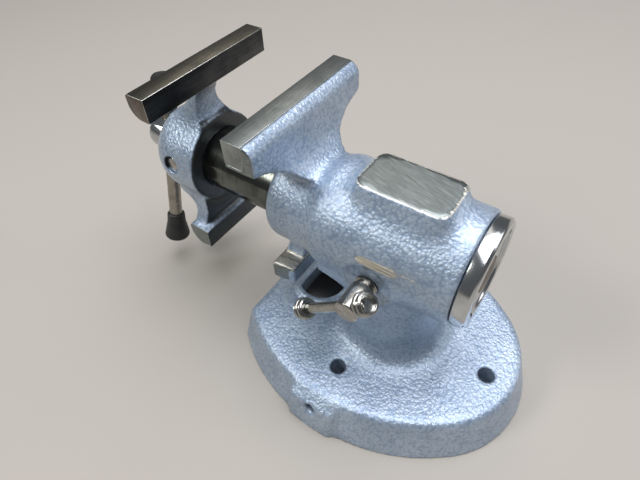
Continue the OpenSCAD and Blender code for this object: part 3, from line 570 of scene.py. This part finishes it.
def body_lug_hole(x, y, z):
    """The lug's round hole with its countersunk mouth."""
    reach = np.hypot(x - LUG_X, z - LUG_HOLE_Z)
    inside = (reach < LUG_HOLE_R + 0.5) & (y > LUG_Y + 0.9) & (y < LUG_Y + 10)
    mouth = (reach < LUG_HOLE_R + LUG_SINK) & (y < LUG_Y + 1)
    to_round_wall(x, z, LUG_X, LUG_HOLE_Z, LUG_HOLE_R, inside)
    wall, stand = lug_face(x, z)
    y[mouth] = (wall - stand + LUG_HOLE_R + LUG_SINK - reach)[mouth]


def dress_body():
    """The body's casting: softened, with true machined faces, and marked where the paint is worn."""
    skin = Skin("body_casting", BODY_VOXEL)
    body_fillets(skin)
    body_lug(skin)

    # Machined faces and holes are made true again
    x, y, z = skin.co.T
    pad = (z > PAD_TOP - 0.5) & near(x, PAD_X, PAD_LONG) & near(y, 0, PAD_WIDE)
    z[pad & (z > PAD_TOP - 0.3)] = PAD_TOP
    z[z < 0.3] = 0
    spot_face = (np.hypot(x - LOCK_X, z - LOCK_Z) < SPOT_R) & near(y, SPOT_Y, 0.4)
    y[spot_face] = SPOT_Y
    for hole_x, hole_y in BOLT_HOLES:
        inside = (np.hypot(x - hole_x, y - hole_y) < BOLT_HOLE_R + 0.4) & (z < FOOT_TOP - 0.2)
        to_round_wall(x, y, hole_x, hole_y, BOLT_HOLE_R, inside)
    body_lug_hole(x, y, z)
    reach = np.hypot(y, z - AXIS_Z)
    bore = near(reach, BORE_R, 0.4) & (x < BORE_REAR) & (x > BORE_FRONT)
    to_round_wall(y, z, 0, AXIS_Z, BORE_R + 0.03, bore)

    up = skin.normals()[:, 2]
    lower_jaw = (x < LOWER_JAW_BACK) & (z > LOWER_JAW_LOW) & (z < LOWER_JAW_TOP)
    lower_jaw_bare = (z > LOWER_JAW_TOP - 2.2) | (np.abs(y) > LOWER_JAW_END) | (x < LOWER_JAW_FACE)
    bare = amounts(
        np.zeros(skin.n),
        (pad, 0.95),
        (lower_jaw & lower_jaw_bare, 0.9),
        ((np.abs(y) > FIXED_JAW_END) & (z > FIXED_JAW_LOW), 0.9),
        ((z > FIXED_JAW_TOP) & (up > 0.8), 0.5),
        ((x < COLLAR_FRONT) & (reach < COLLAR_R), 0.3),
        ((x < COLLAR_FRONT + 2) & (reach < BORE_R + 0.6), 0.9))
    spot_rim = np.hypot(x - LOCK_X, z - LOCK_Z) > SPOT_R - 0.5
    # Painted shade in the lock's recess, darkest round the edge of its floor; the bore is also darker inside
    dark = amounts(
        np.zeros(skin.n),
        (spot_face, 0.2),
        (spot_face & spot_rim, 0.35),
        (reach < BORE_R + 0.3, 0.6))
    edge_wear = amounts(
        np.where(z < FOOT_TOP + 0.8, 0.1, 0.35),
        ((z > FIXED_JAW_LOW + 4) | lower_jaw, 0.8),
        ((z > PAD_TOP - 2) & near(x, PAD_X, PAD_LONG + 1.8) & near(y, 0, PAD_WIDE + 2.4), 1.5))
    rubbed_and_lit = np.zeros(skin.n)
    # The first band also paints a highlight along the edge of the lock's boss
    for amount, height, half, front, rear, soft in RUBBED_AND_HIGHLIGHT_BANDS:
        band = amount * fade(z, height, half) * span(x, front, rear, soft) * (y < NEAR_FLANK)
        rubbed_and_lit = np.maximum(rubbed_and_lit, band)
    # The fixed lower jaw's top: bare steel made brighter still, a painted light against the shade of the jaw
    # above it
    rubbed_and_lit[lower_jaw & (z > LOWER_JAW_TOP - 1.6)] = 0.8
    skin.finish(skin.mean(bare), skin.mean(dark), edge_wear, rubbed_and_lit, BODY_SHARE)


dress_body()

# The moving jaw's casting
JAW_VOXEL = 0.5
JAW_FILLET_ROUNDS, JAW_EDGE_ROUNDS = 160, 6
SEAT_LOW, SEAT_HIGH, SEAT_BACK, SEAT_HALF = 103.6, 110.6, -83, 5.4
NECK_LOW, NECK_TOP = 94, 108
POCKET_R, POCKET_SIDE = 4.6, -14
MOVING_LOWER_END, MOVING_LOWER_TOP = 20.6, 45


def neck_seat():
    """Closes the neck's front over the pins and up to the bar, along the neck's own hollow curve."""
    heights = np.linspace(SEAT_LOW, SEAT_HIGH, 12)
    points = [(NECK_X + math.sqrt(NECK_R ** 2 - (z - NECK_Z) ** 2), 0, z) for z in heights]
    points += [(SEAT_BACK, 0, SEAT_HIGH), (SEAT_BACK, 0, SEAT_LOW)]
    o = outline_piece("neck_seat", points, [], [range(len(points))])
    mod = o.modifiers.new("width", "SOLIDIFY")
    mod.thickness, mod.offset = 2 * SEAT_HALF * MM, 0
    bpy.ops.object.modifier_apply(modifier="width")
    return o


def dress_front_jaw():
    """The moving jaw's casting: softened, bare at the lower jaw's ends, and darkened on its rear faces with
    grime and painted shade.
    """
    skin = Skin("front_jaw_casting", JAW_VOXEL, neck_seat())
    x, y, z = skin.co.T
    pocket = np.hypot(x - POCKET_X, z - POCKET_Z)
    free = amounts(
        np.ones(skin.n),
        ((np.hypot(y, z - AXIS_Z) < BORE_R + 0.8) | (z > NECK_TOP), 0),
        ((pocket < POCKET_R + 0.6) & (y < POCKET_SIDE), 0),
        (z < MOVING_LOWER_TOP - 2, 0.02))
    skin.soften(JAW_FILLET_ROUNDS, JAW_EDGE_ROUNDS, free)

    low = z < MOVING_LOWER_TOP
    pocket = np.hypot(x - POCKET_X, z - POCKET_Z)
    bare = amounts(
        np.zeros(skin.n),
        ((np.abs(y) > MOVING_LOWER_END) & low, 0.9),
        (pocket < POCKET_R, 0.2))
    # Painted shade with grime: faces turned to the rear are darkened, on the neck more towards the bar above
    rear_face = np.clip((skin.normals()[:, 0] - 0.45) / 0.4, 0, 1)
    on_neck = 0.6 * np.clip((z - NECK_LOW - 5) / 8, 0, 1)
    dark = rear_face * np.where(z > NECK_LOW, on_neck, 0.75)
    edge_wear = np.where(low, 0.7, 0.15)
    skin.finish(skin.mean(bare), skin.mean(skin.mean(dark)), edge_wear, np.zeros(skin.n))


dress_front_jaw()

# Smaller pieces
UP, NEAR, FAR = Vector((0, 0, 1)), Vector((0, -1, 0)), Vector((0, 1, 0))
PIN_SHARE, PIN_BACK = 0.6, 0.7
THREAD_IN, THREAD_OUT, THREAD_PITCH, THREAD_TURNS, THREAD_AHEAD = 3.8, 4.5, 1.0, 2, 2.7
# The turned ends of the T-bar's knobs: a rim, a step down, a flat and a raised button
KNOB_RINGS = ((0.7, 0), (0.25, -0.4), (0.9, 0), (0.25, 0.35))


def thin_pins():
    """The pins under the moving bar, drawn thinner so that they stay inside the neck."""
    o = copy_of("front_jaw_pins", rod_steel)
    for v in o.data.vertices:
        x, y = v.co.x / MM, v.co.y / MM
        pin_y = math.copysign(PIN_Y, y)
        v.co.x = (PIN_X + PIN_SHARE * (x - PIN_X) + PIN_BACK) * MM
        v.co.y = (pin_y + PIN_SHARE * (y - pin_y)) * MM
    stand_in(o, "front_jaw_pins")


def jaw_bars():
    """The ground bar, and the dark bar with its brown top and sawn ends, both with rubbed edges."""
    dressed("rear_jaw_insert", [ground, worn_edge], 0.3, True)
    bar = dressed("front_jaw_insert", [dark_steel, worn_edge, brown_steel, sawn], 0.55, True)
    for direction, index in ((UP, 2), (NEAR, 3), (FAR, 3)):
        finish_faces(bar, direction, index)


def t_bar_knobs():
    """The T-bar's two knobs, each with turned rings in its outer end."""
    left, right = (Vector(middle("t_bar_knob_" + side)) for side in ("left", "right"))
    outwards = (right - left).normalized()
    ringed_end(dressed("t_bar_knob_left", [nickel]), -outwards, KNOB_RINGS)
    ringed_end(dressed("t_bar_knob_right", [nickel]), outwards, KNOB_RINGS)


def lock_thread():
    """The lock screw's thread where its neck shows: one tooth swept round and along the neck."""
    half = 0.42 * THREAD_PITCH
    tooth = [(THREAD_IN, -half, 0), (THREAD_OUT, 0, 0), (THREAD_IN, half, 0)]
    o = outline_piece("lock_thread", tooth, [(0, 1), (1, 2), (2, 0)], [])
    mod = o.modifiers.new("turns", "SCREW")
    mod.axis, mod.screw_offset = "Y", THREAD_PITCH * MM
    mod.iterations, mod.steps = THREAD_TURNS, 40
    mod.use_smooth_shade = False
    bpy.ops.object.modifier_apply(modifier="turns")
    bpy.ops.object.mode_set(mode="EDIT")
    bpy.ops.mesh.select_all(action="SELECT")
    bpy.ops.mesh.fill_holes(sides=4)
    bpy.ops.mesh.select_all(action="SELECT")
    bpy.ops.mesh.normals_make_consistent(inside=False)
    bpy.ops.object.mode_set(mode="OBJECT")
    o.location = (LOCK_X * MM, (SPOT_Y - THREAD_AHEAD) * MM, LOCK_Z * MM)
    bpy.ops.object.transform_apply(location=True, rotation=False, scale=False)
    o.data.materials.append(nickel)
    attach(o, home["lock_screw"])


thin_pins()
jaw_bars()
for node, mat, edge_width in (("rear_cap", polished, 0.25), ("spindle", polished, 0.25),
                              ("slide_pin", nickel, 0.5), ("lock_screw", nickel, 0.2),
                              ("slide_tube", slide, 0.3)):
    dressed(node, [mat], edge_width)
t_bar_knobs()
lock_thread()

# Floor, light and camera, in metres
FLOOR_WIDE, FLOOR_DROP = 6, 0.0002
# Each light: name, place, height that it aims at, width, watts, colour
LIGHTS = (
    ("sky_light", (0.1, 0.12, 1.05), 0.05, 0.9, 15, "f8f9ff"),
    ("door_light", (-0.52, -0.62, 0.76), 0.08, 0.32, 4.6, "fffefa"),
    ("window_light", (0.95, 0.65, 0.55), 0.08, 0.5, 2.6, "fbfcff"),
    ("wall_light", (-0.55, 0.75, 0.95), 0.08, 0.7, 1.6, "fff8ee"),
)
# The camera was fitted to the foot, the pad, the jaws, the hub and the cap in the photograph
CAMERA_PLACE = (0.05392, -0.11398, 0.20440)
CAMERA_RIGHT = (0.82200, 0.56859, -0.03188)
CAMERA_UP = (-0.40336, 0.62082, 0.67222)
CAMERA_BACK = (0.40201, -0.53970, 0.73967)
SENSOR_WIDE, LENS = 36, 27.26


def pale_floor():
    """A plain matt board under the part."""
    bpy.ops.mesh.primitive_plane_add(size=FLOOR_WIDE, location=(0, 0, -FLOOR_DROP))
    floor = bpy.context.object
    floor.name = "floor"
    board, _, shader = material("pale_matt_board")
    shader.inputs["Base Color"].default_value = lin("a6a199")
    shader.inputs["Roughness"].default_value = 0.85
    floor.data.materials.append(board)


def soft_light(name, place, aim_height, wide, watts, colour):
    """A soft square light turned towards a point above the middle of the floor."""
    d = bpy.data.lights.new(name, "AREA")
    d.size, d.energy, d.color = wide, watts, lin(colour)[:3]
    o = bpy.data.objects.new(name, d)
    o.location = place
    o.rotation_euler = (Vector((0, 0, aim_height)) - Vector(place)).to_track_quat("-Z", "Y").to_euler()
    bpy.context.collection.objects.link(o)


def room_light():
    """The even light of the room all round."""
    world = bpy.data.worlds.new("soft_room")
    world.use_nodes = True
    background = world.node_tree.nodes["Background"]
    background.inputs["Color"].default_value = lin("d9dde2")
    background.inputs["Strength"].default_value = 0.18
    bpy.context.scene.world = world


def photo_camera():
    """The camera at the photograph's angle."""
    cam = bpy.data.objects.new("camera", bpy.data.cameras.new("camera"))
    bpy.context.collection.objects.link(cam)
    cam.data.sensor_width, cam.data.lens = SENSOR_WIDE, LENS
    cam.data.clip_start = 0.005
    turn = Matrix((CAMERA_RIGHT, CAMERA_UP, CAMERA_BACK)).transposed().to_4x4()
    cam.matrix_world = Matrix.Translation(CAMERA_PLACE) @ turn
    bpy.context.scene.camera = cam


pale_floor()
for light in LIGHTS:
    soft_light(*light)
room_light()
photo_camera()
bpy.context.scene.view_settings.view_transform = "Standard"
